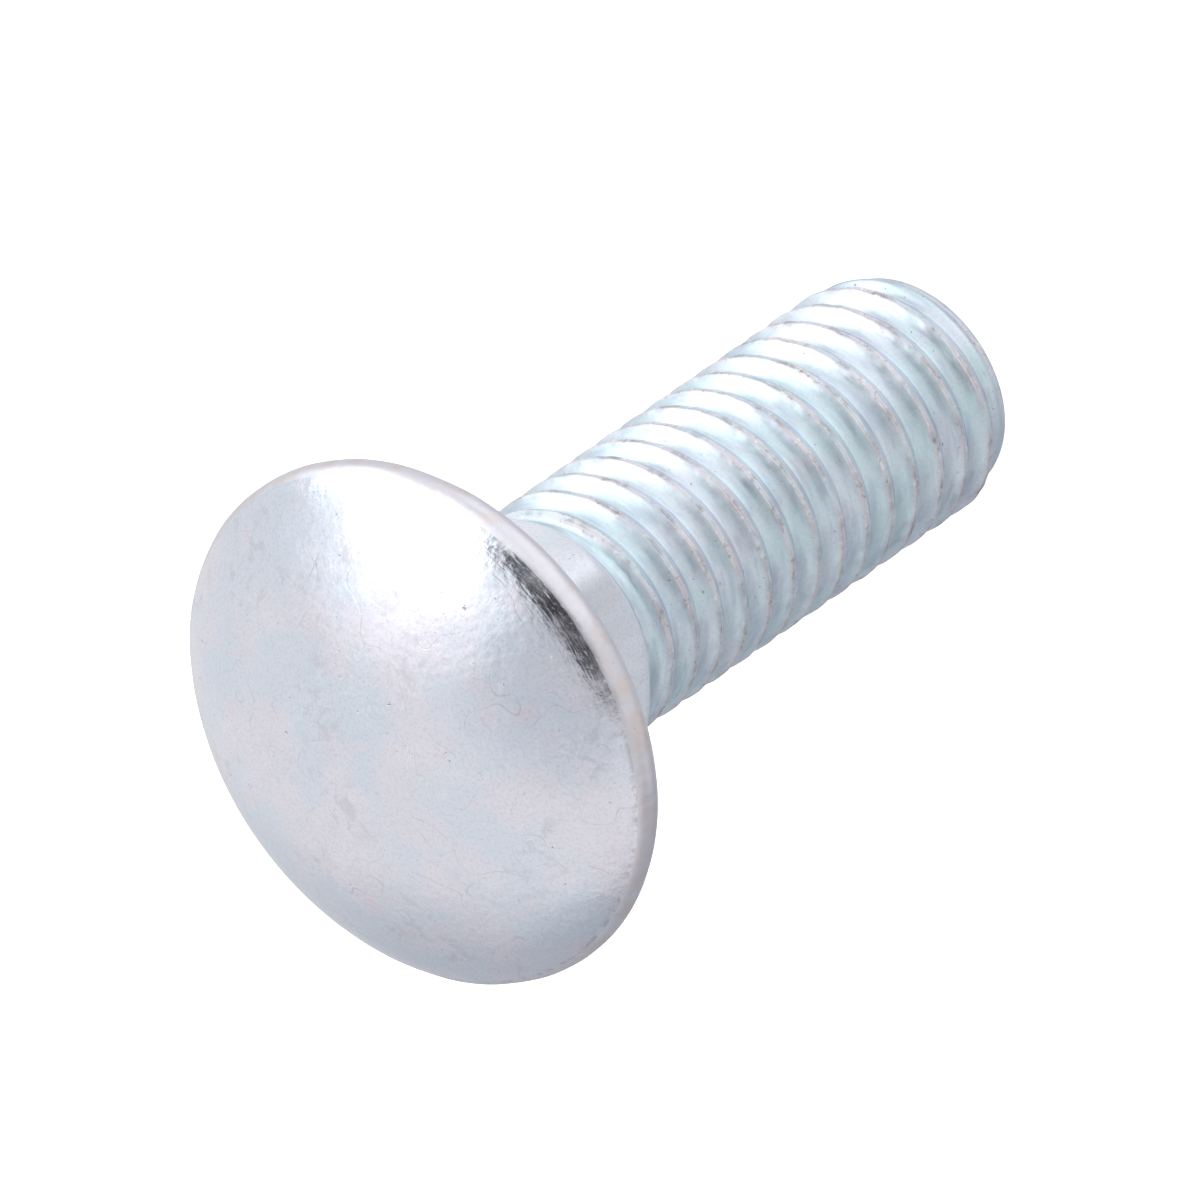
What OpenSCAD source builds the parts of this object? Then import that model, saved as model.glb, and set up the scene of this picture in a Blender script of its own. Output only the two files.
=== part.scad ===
// Carriage bolt: domed head, square neck, rolled thread, all forged from one piece of steel wire.
// It stands on its threaded end, with the axis along +Z and the head on top.
// The origin is the middle of the flat end face. Millimetres.

/* [Head] */
// Diameter over the widest part of the head
head_d = 27.5; // [24:0.1:32]
// Height of the head from its bearing face to the top of the dome
head_h = 6.7; // [5.8:0.1:8.5]
// Radius of the rounded lip around the head
lip_r = 1.05; // [0.7:0.05:1.3]
// Width of the lip that stands outside the dome
lip_step = 0.4; // [0.2:0.05:0.6]
// How much flatter the crown is than one arc across the whole dome
crown_flatness = 1.055; // [1.03:0.005:1.08]
// Share of the dome's half width that the crown covers before the shoulder turns down
crown_share = 0.82; // [0.7:0.01:0.88]

/* [Neck] */
// Width of the square neck across its flats
neck_w = 12.9; // [12:0.1:14.5]
// Radius of the neck's four upright corners
neck_corner_r = 1.2; // [0.6:0.1:2.5]
// Depth of the full square, from the bearing face down
neck_depth = 6.3; // [4.5:0.1:8]
// Angle between the axis and the cone that leads from the square to the round shank
neck_taper = 45; // [35:1:55]
// Turn of the square about the axis
neck_turn = 0; // [0:1:90]

/* [Shank and thread] */
// Length from the bearing face to the end
shank_l = 38.1; // [30:0.1:80]
// Diameter of the plain shank, which is the wire that the thread is rolled on
blank_d = 11.5; // [11.2:0.05:11.9]
// Plain length between the neck's cone and the end of the thread
plain_l = 0.3; // [0.3:0.1:8]
// Outside diameter over the thread's crests
thread_d = 12.6; // [12.3:0.05:13]
// Distance from one crest to the next: 25.4 mm over 13 threads
pitch = 1.954; // [1.6:0.001:2.2]
// Turn of the thread about the axis
thread_turn = 268; // [0:1:359]
// Turns over which the thread runs out below the neck
run_out = 0.45; // [0.3:0.05:2]

/* [End] */
// Diameter of the end where its cone starts
end_d = 11.1; // [10:0.1:11.4]
// Bevel around the flat end face
end_bevel = 0.25; // [0.1:0.05:0.5]
// Angle between the axis and the pointing cone of the end
end_taper = 22; // [15:1:30]
// Plain height of the end before the thread's first groove
end_plain = 0.6; // [0.55:0.05:1.5]

/* [Smoothness] */
// Sides of the thread around the axis
thread_sides = 36; // [24:4:48]

/* [Hidden] */
$fn = 96;
steel = [0.80, 0.82, 0.86];

// The thread's faceted surface stays this far inside the turned surfaces that it grows out of
seat = 0.02;
// Depth by which the thread's core reaches into the plain shank and the plain end
bury = 0.25;

// Head: the lip is a circle, and the dome is a flat crown that rounds into a tighter shoulder
head_r = head_d / 2;
dome_r = head_r - lip_step;
dome_z = lip_r + sqrt(pow(lip_r, 2) - pow(lip_r - lip_step, 2));
dome_h = head_h - dome_z;
one_arc_r = (pow(dome_r, 2) + pow(dome_h, 2)) / (2 * dome_h);
crown_r = crown_flatness * one_arc_r;
crown_edge = crown_share * dome_r;
crown_angle = asin(crown_edge / crown_r);
// The shoulder touches the crown at the crown's edge and passes through the foot of the dome
foot_x = dome_r;
foot_y = crown_r - dome_h;
foot_along = foot_x * sin(crown_angle) + foot_y * cos(crown_angle);
shoulder_shift = (pow(crown_r, 2) - pow(foot_x, 2) - pow(foot_y, 2)) / (2 * (crown_r - foot_along));
shoulder_r = crown_r - shoulder_shift;
shoulder_x = shoulder_shift * sin(crown_angle);
shoulder_z = head_h - crown_r + shoulder_shift * cos(crown_angle);

// Neck
blank_r = blank_d / 2;
corner_reach = (neck_w / 2 - neck_corner_r) * sqrt(2) + neck_corner_r;
taper_h = (corner_reach - blank_r) / tan(neck_taper);
neck_low = shank_l - neck_depth - taper_h;

// Thread: 60 degree profile, crest flat of an eighth of the pitch, rounded root
crest_r = thread_d / 2;
root_depth = 0.6134 * pitch;
flank_depth = 0.5413 * pitch;
crest_half = 1 / 16;
root_half = 1 / 8;
// Each pair is a place along the pitch, from 0 to 1, and the depth there below the crest
profile = [
    [0, root_depth],
    [root_half, flank_depth],
    [0.5 - crest_half, 0],
    [0.5 + crest_half, 0],
    [1 - root_half, flank_depth]
];
steps = len(profile);
thread_high = neck_low - plain_l;
core_low = end_plain - bury;
core_high = thread_high + bury;
first_row = core_low - pitch * (2 - thread_turn / 360);
turns = ceil((core_high - first_row) / pitch) + 1;
rows = turns * steps;

// Radius of the pointing cone at height z
function point_r(z) = end_d / 2 + z * tan(end_taper);

// Goes smoothly from 0 to 1 as t does, and stays there outside
function ease(t) = let (c = min(max(t, 0), 1)) c * c * (3 - 2 * c);

// Share of the full thread depth at height z: none at the plain end and at the plain shank
function formed(z) =
    ease((z - end_plain) / (0.4 * pitch)) * ease((thread_high - z) / (run_out * pitch));

// Radius of the thread at height z for a depth below the crest
function thread_r(z, depth) =
    let (core = blank_r - seat)
    min(core + formed(z) * (crest_r - depth - core), point_r(z) - seat);

// Height of row k at side i: every row climbs one pitch in a turn
function row_z(i, k) =
    first_row + pitch * (floor(k / steps) + profile[k % steps][0] + i / thread_sides);

// Number of the point at side i and row k, where rows past an end share that end's ring
function at(i, k) =
    i == thread_sides ? at(0, k + steps)
    : row_z(i, k) < core_low + seat ? i
    : row_z(i, k) > core_high - seat ? thread_sides + i
    : (2 + k) * thread_sides + i;

function on_side(i, r, z) = let (a = 360 * i / thread_sides) [r * cos(a), r * sin(a), z];

// Only a true triangle is a face, so what folds up at an end leaves none
function true_face(f) = f[0] != f[1] && f[1] != f[2] && f[2] != f[0];

module thread_surface() {
    last = thread_sides - 1;
    low_ring = [for (i = [0:last]) on_side(i, thread_r(core_low, 0), core_low)];
    high_ring = [for (i = [0:last]) on_side(i, thread_r(core_high, 0), core_high)];
    wall = [
        for (k = [0:rows - 1], i = [0:last])
            let (z = row_z(i, k))
            on_side(i, thread_r(z, profile[k % steps][1]), z)
    ];
    sides = [
        for (k = [0:rows - 2], i = [0:last], half = [0, 1])
            let (f = half == 0
                ? [at(i, k), at(i + 1, k + 1), at(i + 1, k)]
                : [at(i, k), at(i, k + 1), at(i + 1, k + 1)])
            if (true_face(f)) f
    ];
    ends = [[for (i = [0:last]) i], [for (i = [last:-1:0]) thread_sides + i]];
    polyhedron(points = concat(low_ring, high_ring, wall), faces = concat(sides, ends));
}

module head_section() {
    // Crown and shoulder of the dome
    intersection() {
        translate([0, head_h - crown_r]) circle(r = crown_r);
        square([crown_edge, head_h]);
    }
    intersection() {
        translate([shoulder_x, shoulder_z]) circle(r = shoulder_r);
        square([dome_r, head_h]);
    }
    // Rounded lip and the flat bearing face inside it
    translate([head_r - lip_r, lip_r]) circle(r = lip_r);
    square([head_r - lip_r, lip_r]);
}

module head() {
    translate([0, 0, shank_l]) rotate_extrude() head_section();
}

module neck_section() {
    flat = neck_w - 2 * neck_corner_r;
    square([neck_w, flat], center = true);
    square([flat, neck_w], center = true);
    for (x = [-1, 1], y = [-1, 1])
        translate([x * flat / 2, y * flat / 2]) circle(r = neck_corner_r);
}

module neck() {
    // The square is cut back by a cone at its lower end, which leaves curved edges on the flats
    intersection() {
        translate([0, 0, neck_low]) rotate([0, 0, neck_turn])
            linear_extrude(shank_l - neck_low + lip_r) neck_section();
        union() {
            translate([0, 0, neck_low]) cylinder(h = taper_h, r1 = blank_r, r2 = corner_reach);
            translate([0, 0, neck_low + taper_h])
                cylinder(h = neck_depth + lip_r, r = corner_reach + 1);
        }
    }
}

module plain_shank() {
    translate([0, 0, thread_high]) cylinder(h = shank_l - thread_high, r = blank_r);
}

module end_point() {
    rotate_extrude() polygon([
        [0, 0],
        [end_d / 2 - end_bevel, 0],
        [point_r(end_bevel), end_bevel],
        [point_r(end_plain), end_plain],
        [0, end_plain]
    ]);
}

module carriage_bolt() {
    color(steel) {
        head();
        neck();
        plain_shank();
        thread_surface();
        end_point();
    }
}

carriage_bolt();
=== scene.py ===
"""A carriage bolt in clear zinc plating: domed head, square neck and coarse right-hand thread.

The bolt is one closed surface. Every part of it is a stack of rings worked out with numpy, and the
thread is a stack of helical rows between two flat rings. Lengths in the classes are millimetres, and
the mesh is turned to metres once, at the end. The bolt stands on its threaded end with +Z up its axis.
"""

from __future__ import annotations

import logging
import math
from dataclasses import dataclass, field
from enum import Enum

import bpy
import numpy as np
from mathutils import Matrix, Vector


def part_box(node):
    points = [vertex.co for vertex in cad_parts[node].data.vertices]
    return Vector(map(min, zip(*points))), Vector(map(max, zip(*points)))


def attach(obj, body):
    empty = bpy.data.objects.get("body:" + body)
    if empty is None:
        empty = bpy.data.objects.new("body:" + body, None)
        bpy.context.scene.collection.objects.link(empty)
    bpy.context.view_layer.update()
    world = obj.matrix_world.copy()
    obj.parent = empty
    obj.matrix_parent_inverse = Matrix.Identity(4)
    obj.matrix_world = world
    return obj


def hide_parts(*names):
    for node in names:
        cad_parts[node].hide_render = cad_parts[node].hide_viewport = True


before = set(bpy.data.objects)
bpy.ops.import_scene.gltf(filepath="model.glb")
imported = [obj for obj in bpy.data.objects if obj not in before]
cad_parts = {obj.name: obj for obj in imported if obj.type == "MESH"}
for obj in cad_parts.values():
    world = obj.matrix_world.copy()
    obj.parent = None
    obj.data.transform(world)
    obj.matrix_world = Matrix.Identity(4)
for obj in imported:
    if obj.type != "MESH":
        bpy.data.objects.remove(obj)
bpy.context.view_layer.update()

LOG = logging.getLogger("carriage_bolt")
NODE = "carriage_bolt"
MM = 0.001
MICRON = 1e-6
# Points around the axis, the same for every ring, so that the whole bolt is one closed grid
COLUMNS = 216
# Sine waves that add up to a swell, and how far their lengths spread around the middle one
WAVES = 9
SPREAD = (0.67, 1.33)

Tree = bpy.types.NodeTree
Socket = bpy.types.NodeSocket
# What a node's input takes: another node's output, a number, or a vector or colour
Value = Socket | float | tuple[float, ...]


class Zone(Enum):
    """The stretches of the bolt that carry their own finish, in the order of the material slots."""

    HEAD = 0
    NECK = 1
    THREAD = 2


class Wear(Enum):
    """What the making and handling left, and where light and shade are painted, as a share from 0 to 1 at
    each point of the mesh.

    BRIGHT is where edges are rubbed pale, DULL where the plate is rougher, GRIME where dirt
    stays and, in the head's crease, shade is painted too, LAPPED where the die dragged the metal around
    the shoulder, and THIN where the flanks that face the end are painted paler, as painted light.
    """

    BRIGHT = "bright"
    DULL = "dull"
    GRIME = "grime"
    LAPPED = "lapped"
    THIN = "thin"


class Swell(Enum):
    """Slow unevenness of each place: its middle wavelength in millimetres, and its seed."""

    DOME_BROAD = (9.0, 11)
    DOME_FINE = (4.2, 12)
    LIP_BROAD = (5.0, 21)
    LIP_FINE = (1.6, 22)
    NECK_BROAD = (3.1, 31)
    NECK_FINE = (1.2, 32)
    SEAM = (7.0, 41)
    CREST_BROAD = (3.3, 42)
    CREST_FINE = (1.1, 43)
    RUBBING = (5.0, 44)
    DIRT = (2.6, 45)
    WANDER_BROAD = (2.6, 46)
    WANDER_FINE = (1.1, 47)


def column_angles() -> np.ndarray:
    """Angle of each column about the axis, evenly spaced over one turn.

    Returns:
        An array of COLUMNS angles in radians, from 0.
    """
    return np.arange(COLUMNS) * (2 * np.pi / COLUMNS)


def ripple(points: np.ndarray, swell: Swell) -> np.ndarray:
    """Smooth pseudo-random swell: plane sine waves added up, over the root of their number.

    Args:
        points: Array (..., d) of places, in millimetres.
        swell: Middle wavelength of the waves, and the seed of their directions, lengths and phases.

    Returns:
        An array of the leading shape, mostly between -1.5 and 1.5.
    """
    wavelength, seed = swell.value
    draw = np.random.default_rng(seed)
    directions = draw.normal(size=(WAVES, points.shape[-1]))
    directions /= np.linalg.norm(directions, axis=1, keepdims=True)
    lengths = wavelength * draw.uniform(*SPREAD, WAVES)
    phases = draw.uniform(0, 2 * np.pi, WAVES)
    turns = (points @ directions.T) / lengths
    return np.sin(2 * np.pi * turns + phases).sum(axis=-1) / math.sqrt(WAVES)


def ease(t: np.ndarray) -> np.ndarray:
    """Smooth step: three t squared less two t cubed, with t held between 0 and 1."""
    held = np.clip(t, 0, 1)
    return held * held * (3 - 2 * held)


def shares(count: int) -> np.ndarray:
    """Equal steps up to 1, without 0, as a column with one for each ring."""
    return (np.arange(1, count + 1) / count)[:, None]


@dataclass
class Rings:
    """A stack of rings: where their points lie and how worn each point is.

    Attributes:
        xyz: Array (rings, COLUMNS, 3) of places in millimetres.
        zone: The finish of the faces that start at each ring.
        wear: Shares, each an array that spreads over (rings, COLUMNS).
    """

    xyz: np.ndarray
    zone: Zone
    wear: dict[Wear, np.ndarray] = field(default_factory=dict)

    def worn(self, kind: Wear) -> np.ndarray:
        """One kind of wear at every point, in a row."""
        return np.broadcast_to(self.wear.get(kind, np.zeros((1, 1))), self.xyz.shape[:2]).ravel()


def turned(radius: np.ndarray, height: np.ndarray) -> np.ndarray:
    """Rings from radii and heights: x is r cos a, y is r sin a and z is the height.

    Args:
        radius: Array (rings, 1) or (rings, COLUMNS), in millimetres.
        height: Array of either shape, in millimetres.

    Returns:
        An array (rings, COLUMNS, 3).
    """
    angle = column_angles()
    radius, height = np.broadcast_arrays(radius, height)
    if radius.shape[1] == 1:
        radius = np.repeat(radius, COLUMNS, axis=1)
        height = np.repeat(height, COLUMNS, axis=1)
    return np.stack([radius * np.cos(angle), radius * np.sin(angle), height], axis=-1)


@dataclass(frozen=True)
class Head:
    """The domed head: a flat crown, a tighter shoulder, and a rounded lip that stands outside them.

    A dimple is given by x, y, half width and depth. The dome's unevenness dies over true_edge towards
    its foot, and its laps grow over lap_fade from lap_r outwards. The crease holds dirt and painted
    shade, most of it towards shaded_side, and other_side_share of it on the other side. The whole lip
    has lip_rub of the rubbing that its widest ring has.
    """

    diameter: float
    height: float
    bearing_z: float
    lip_r: float = 1.05
    lip_step: float = 0.4
    crown_flatness: float = 1.055
    crown_share: float = 0.82
    swell: float = 0.018
    dimples: tuple[tuple[float, float, float, float], ...] = (
        (1.2, -2.1, 2.4, 0.02),
        (-4.5, 3.0, 1.7, 0.016),
        (5.2, 4.4, 1.3, 0.02),
        (-2.6, -6.8, 1.1, 0.015),
        (8.1, -2.0, 0.9, 0.02),
    )
    true_edge: float = 1.5
    lap_r: float = 11.4
    lap_fade: float = 1.5
    dent: float = 0.02
    crease: float = 0.1
    other_side_share: float = 0.15
    shaded_side: float = math.radians(-110)
    lip_rub: float = 0.35
    lip_dull: float = 0.7
    crown_rings: int = 34
    shoulder_rings: int = 16
    lip_rings: int = 22

    @property
    def dome_r(self) -> float:
        """Half width of the dome, where it meets the lip."""
        return self.diameter / 2 - self.lip_step

    @property
    def dome_z(self) -> float:
        """Height of the dome's foot over the bearing face: where the lip's circle stands lip_step in."""
        return self.lip_r + math.sqrt(self.lip_r**2 - (self.lip_r - self.lip_step) ** 2)

    def crown(self) -> tuple[float, float, float]:
        """Radius of the crown, its edge, and the angle of its edge from the axis.

        The arc through the top and the foot has the radius (r squared plus h squared) over two h,
        and the crown is flatter than it by crown_flatness.

        Returns:
            The crown's radius, the radius of its edge ring and the edge's angle in radians.
        """
        rise = self.height - self.dome_z
        radius = self.crown_flatness * (self.dome_r**2 + rise**2) / (2 * rise)
        edge = self.crown_share * self.dome_r
        return radius, edge, math.asin(edge / radius)

    def shoulder(self) -> tuple[float, float, float]:
        """Circle that touches the crown at its edge and passes through the dome's foot.

        Its centre lies on the line from the crown's centre to the crown's edge, moved out by
        (R squared less d squared) over two (R less d along that line), where d runs to the foot.

        Returns:
            The shoulder's radius, and its centre's distance from the axis and height over the
            bearing face.
        """
        radius, _, angle = self.crown()
        foot = (self.dome_r, radius - (self.height - self.dome_z))
        along = foot[0] * math.sin(angle) + foot[1] * math.cos(angle)
        shift = (radius**2 - foot[0] ** 2 - foot[1] ** 2) / (2 * (radius - along))
        centre_z = self.height - radius + shift * math.cos(angle)
        return radius - shift, shift * math.sin(angle), centre_z

    def unevenness(self, xy: np.ndarray) -> np.ndarray:
        """Height of the forging's unevenness: two slow swells, lowered, less the dimples.

        A dimple is its depth times e to the power of minus (distance over half width) squared.

        Args:
            xy: Array (..., 2) of places across the head.

        Returns:
            Height to add, in millimetres, mostly downwards.
        """
        # Lowered, so that next to none of it stands over the true dome
        swells = 0.6 * ripple(xy, Swell.DOME_BROAD) + 0.4 * ripple(xy, Swell.DOME_FINE)
        height = self.swell * (swells - 1.2)
        for x, y, wide, deep in self.dimples:
            away = (xy[..., 0] - x) ** 2 + (xy[..., 1] - y) ** 2
            height = height - deep * np.exp(-away / wide**2)
        return height

    def rings(self) -> list[Rings]:
        """Rings from just below the top of the dome to the edge of the bearing face.

        On the crown z is the height less R plus the root of (R squared less r squared). A ring of the
        shoulder or the lip lies its circle's radius from the circle's centre: times the sine of the
        angle from the axis outwards, and times the cosine upwards.

        Returns:
            The dome's rings and the lip's rings.
        """
        crown_r, crown_edge, crown_angle = self.crown()
        shoulder_r, shoulder_x, shoulder_z = self.shoulder()
        r = crown_edge * np.arange(1, self.crown_rings + 1) / self.crown_rings
        z = self.height - crown_r + np.sqrt(crown_r**2 - r**2)
        foot_angle = math.asin((self.dome_r - shoulder_x) / shoulder_r)
        a = np.linspace(crown_angle, foot_angle, self.shoulder_rings + 1)[1:]
        r = np.concatenate([r, shoulder_x + shoulder_r * np.sin(a)])
        z = np.concatenate([z, shoulder_z + shoulder_r * np.cos(a)])
        dome = turned(r[:, None], self.bearing_z + z[:, None])
        inside = ease((self.dome_r - r) / self.true_edge)[:, None]
        dome[..., 2] += inside * self.unevenness(dome[..., :2])
        # Dirt and painted shade darken the crease at the foot of the dome, most of it on the shaded side
        side = ease(0.5 + 0.9 * np.cos(column_angles() - self.shaded_side))
        crease = np.exp(-(((self.dome_r - r) / self.crease) ** 2))[:, None]
        crease = crease * (self.other_side_share + (1 - self.other_side_share) * side)
        lapped = ease((r - self.lap_r) / self.lap_fade)[:, None]

        start = math.asin(1 - self.lip_step / self.lip_r)
        a = np.linspace(start, math.pi, self.lip_rings + 1)[1:]
        lip_r = self.diameter / 2 - self.lip_r + self.lip_r * np.sin(a)
        lip = turned(lip_r[:, None], self.bearing_z + self.lip_r * (1 + np.cos(a))[:, None])
        out = np.sin(a)[:, None]
        # Dents only cut in, and most where the lip stands out furthest
        dents = np.minimum(ripple(lip, Swell.LIP_BROAD) + 0.5 * ripple(lip, Swell.LIP_FINE) - 1.5, 0)
        dents = self.dent * dents * out**2
        lip[..., :2] *= (1 + dents / (self.diameter / 2))[..., None]
        rubbed = self.lip_rub + (1 - self.lip_rub) * out**3
        return [
            Rings(dome, Zone.HEAD, {Wear.GRIME: crease, Wear.LAPPED: lapped}),
            Rings(lip, Zone.HEAD, {Wear.BRIGHT: rubbed, Wear.DULL: np.full_like(out, self.lip_dull)}),
        ]


@dataclass(frozen=True)
class Neck:
    """The square neck, with rounded corners, cut back below by a cone down to the round shank.

    The bearing face ends face_edge_r from the axis. The edge between flat and cone is rounded for
    edge_round along each. A flat is hollow in its middle, and the hollow has died where the outline is
    hollow_fade further out.
    """

    bearing_z: float
    face_edge_r: float
    blank_r: float
    width: float = 12.9
    corner_r: float = 1.2
    depth: float = 6.3
    taper: float = math.radians(45)
    fillet: float = 0.35
    edge_round: float = 0.45
    hollow: float = 0.05
    hollow_fade: float = 2.2
    swell: float = 0.02
    face_rings: int = 8
    fillet_rings: int = 4
    side_rings: int = 12
    round_rings: int = 6
    taper_rings: int = 7

    @property
    def corner_reach(self) -> float:
        """Distance of the rounded corners from the axis."""
        return (self.width / 2 - self.corner_r) * math.sqrt(2) + self.corner_r

    @property
    def low_z(self) -> float:
        """Height at which the cone reaches the round shank."""
        return self.bearing_z - self.depth - (self.corner_reach - self.blank_r) / math.tan(self.taper)

    def outline(self) -> np.ndarray:
        """Distance of the square's outline from the axis at each column.

        A flat lies at h over the larger of |cos| and |sin|. Where that passes the corner's centre p,
        the outline is the corner's circle: along the ray it is d.p plus the root of
        (d.p) squared less p squared plus the corner radius squared.

        Returns:
            An array (COLUMNS,) in millimetres.
        """
        angle = column_angles()
        ray = np.abs(np.stack([np.cos(angle), np.sin(angle)]))
        half, centre = self.width / 2, self.width / 2 - self.corner_r
        flat = half / ray.max(axis=0)
        along = centre * ray.sum(axis=0)
        corner = along + np.sqrt(np.maximum(along**2 - 2 * centre**2 + self.corner_r**2, 0))
        return np.where(flat * ray.min(axis=0) > centre, corner, flat)

    def rings(self) -> list[Rings]:
        """Rings over the bearing face, round the fillet, down the flats and down the cone.

        A straight stretch goes evenly from its start to its end. The fillet lies its radius times (1
        less the sine) out from the flat, and times (1 less the cosine) below the bearing face. The
        edge between flat and cone is a parabola: its start, twice the edge and its end, weighted by
        (1 - t) squared, t (1 - t) and t squared.

        Returns:
            The bearing face's rings, then the neck's.
        """
        outline = self.outline()
        t = shares(self.face_rings)
        face_r = (1 - t) * self.face_edge_r + t * (outline + self.fillet)
        face = turned(face_r, np.full_like(face_r, self.bearing_z))

        turn = np.linspace(0, np.pi / 2, self.fillet_rings + 1)[1:, None]
        bend_r = outline + self.fillet * (1 - np.sin(turn))
        bend_z = self.bearing_z - self.fillet * (1 - np.cos(turn)) + np.zeros_like(bend_r)

        # The flats end where the cone is as wide as they are
        edge_z = self.low_z + (outline - self.blank_r) / math.tan(self.taper)
        start_z = edge_z + self.edge_round
        end_r = outline - self.edge_round * math.sin(self.taper)
        end_z = edge_z - self.edge_round * math.cos(self.taper)
        t = shares(self.side_rings)
        side_z = (1 - t) * (self.bearing_z - self.fillet) + t * start_z
        hollow = self.hollow * np.sin(np.pi * t) * (1 - (outline - self.width / 2) / self.hollow_fade)
        side_r = outline - np.maximum(hollow, 0)
        t = shares(self.round_rings)
        round_r = (1 - t**2) * outline + t**2 * end_r
        round_z = (1 - t) ** 2 * start_z + 2 * t * (1 - t) * edge_z + t**2 * end_z
        t = shares(self.taper_rings)
        cone_z = (1 - t) * end_z + t * self.low_z
        cone_r = (1 - t) * end_r + t * self.blank_r

        radius = np.concatenate([bend_r, side_r, round_r, cone_r])
        height = np.concatenate([bend_z, side_z, round_z, cone_z])
        walls = turned(radius, height)
        # Pushed in rather than out, so that the neck keeps within its width
        push = self.swell * (ripple(walls, Swell.NECK_BROAD) + 0.5 * ripple(walls, Swell.NECK_FINE) - 1.5)
        walls[..., :2] *= (1 + push / radius)[..., None]
        return [Rings(face, Zone.HEAD), Rings(walls, Zone.NECK)]


@dataclass(frozen=True)
class Thread:
    """The rolled thread: hollow flanks, rounded roots, and crests with the seam that rolling leaves.

    The turns are counted from phase_z, as for the solid. The thread grows over start_turns from the
    pointed end and dies over run_out turns below high_z. Slopes are in degrees, and crest_land is half
    the flat on the crest. The three reaches are depths below the crest: of its unevenness, of the
    rubbing and of the dull finish. On flanks that face the end, painted light makes the plate paler
    between the depths pale_from and pale_to, and changes over pale_fade.
    """

    high_z: float
    blank_r: float
    crest_r: float = 6.3
    pitch: float = 1.954
    turn: float = 268 / 360
    phase_z: float = 0.35
    start_turns: float = 0.4
    run_out: float = 0.45
    end_r: float = 5.55
    end_taper: float = math.radians(22)
    end_plain: float = 0.6
    root_arc: float = 0.15
    root_slope: float = 25
    crest_slope: float = 52
    crest_arc: float = 0.11
    crest_land: float = 0.1
    seam_depth: float = 0.03
    crest_reach: float = 0.3
    crest_swell: float = 0.01
    crest_wander: float = 0.022
    rubbed_reach: float = 0.08
    dull_reach: float = 0.5
    pale_from: float = 0.2
    pale_to: float = 0.6
    pale_fade: float = 0.1
    flank_points: int = 6
    crest_points: int = 3

    def profile(self) -> np.ndarray:
        """Points over one pitch: place along it from 0 to 1, depth below the crest, and seam share.

        Three arcs make up half a pitch, beside a flat land on the crest: a small one in the root that
        swings from 0 to root_slope, the long hollow flank that swings on to crest_slope, and the one
        that rounds the crest back to 0. An arc of radius r that swings from a to b moves
        r (sin b - sin a) along the axis and r (cos a - cos b) across it, so the flank's radius is the
        length that is left over sin crest_slope - sin root_slope.

        Returns:
            An array (points, 3), from the middle of one root.
        """
        low, high = math.radians(self.root_slope), math.radians(self.crest_slope)
        left = self.pitch / 2 - self.crest_land - self.root_arc * math.sin(low)
        left -= self.crest_arc * math.sin(high)
        flank_arc = left / (math.sin(high) - math.sin(low))
        flank = np.linspace(low, high, self.flank_points)
        crest = np.linspace(high, 0, self.crest_points + 1)[1:]
        flank_along = self.root_arc * math.sin(low) + flank_arc * (np.sin(flank) - math.sin(low))
        flank_rise = self.root_arc * (1 - math.cos(low)) + flank_arc * (math.cos(low) - np.cos(flank))
        crest_along = flank_along[-1] + self.crest_arc * (math.sin(high) - np.sin(crest))
        crest_rise = flank_rise[-1] + self.crest_arc * (np.cos(crest) - math.cos(high))
        on_land = (self.pitch - self.crest_land) / 2

        along = np.concatenate([[0], flank_along, crest_along, [on_land]])
        rise = np.concatenate([[0], flank_rise, crest_rise, [crest_rise[-1]]])
        half = np.column_stack([along / self.pitch, rise[-1] - rise, np.zeros_like(rise)])
        mirrored = half[:0:-1] * [-1, 1, 1] + [1, 0, 0]
        return np.concatenate([half, [[0.5, 0, 1]], mirrored])

    def formed(self, z: np.ndarray) -> np.ndarray:
        """Share of the full depth at a height: it grows from the pointed end and dies below the neck."""
        start = ease((z - self.end_plain) / (self.start_turns * self.pitch))
        return start * ease((self.high_z - z) / (self.run_out * self.pitch))

    def point_r(self, z: float | np.ndarray) -> float | np.ndarray:
        """Radius of the pointing cone at a height: the end's radius plus z times the taper's tangent."""
        return self.end_r + z * math.tan(self.end_taper)

    def surface(self) -> tuple[Rings, np.ndarray, int]:
        """Helical rows: row k at column i lies at first + pitch times (turn + place + i / columns).

        The radius there is the crest's less the depth and the seam, drawn to the blank's as the thread
        dies, and held inside the pointing cone.

        Returns:
            The rows, the height of each of their points, and the number of rows to a turn.
        """
        profile = self.profile()
        steps = len(profile)
        first = self.phase_z - self.pitch * (2 - self.turn)
        turns = math.ceil((self.high_z - first) / self.pitch) + 2
        k = np.arange(turns * steps)
        place, depth, on_seam = (column[:, None] for column in profile[k % steps].T)
        # Turns from the start, which every row of one pitch shares, so that a crest is uneven as a whole
        wound = (k // steps)[:, None] + np.arange(COLUMNS) / COLUMNS
        z = first + self.pitch * (wound + place)
        formed = self.formed(z)
        along = wound[..., None] * (2 * np.pi * self.crest_r)
        # The seam opens and closes along the crest, and the crest itself is a little uneven
        seam = on_seam * self.seam_depth * np.clip(0.6 + 0.6 * ripple(along, Swell.SEAM), 0.1, 1.4)
        crest = 1 - ease(depth / self.crest_reach)
        uneven = crest * (ripple(along, Swell.CREST_BROAD) + 0.7 * ripple(along, Swell.CREST_FINE) - 1)
        radius = self.crest_r - depth - seam + self.crest_swell * uneven
        radius = self.blank_r + formed * (radius - self.blank_r)
        radius = np.minimum(radius, self.point_r(z))
        wander = ripple(along, Swell.WANDER_BROAD) + 0.7 * ripple(along, Swell.WANDER_FINE)
        wander = self.crest_wander * crest * wander
        wear = self.wear(along, place, depth, on_seam, formed)
        return Rings(turned(radius, z + wander * formed), Zone.THREAD, wear), z, steps

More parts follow.
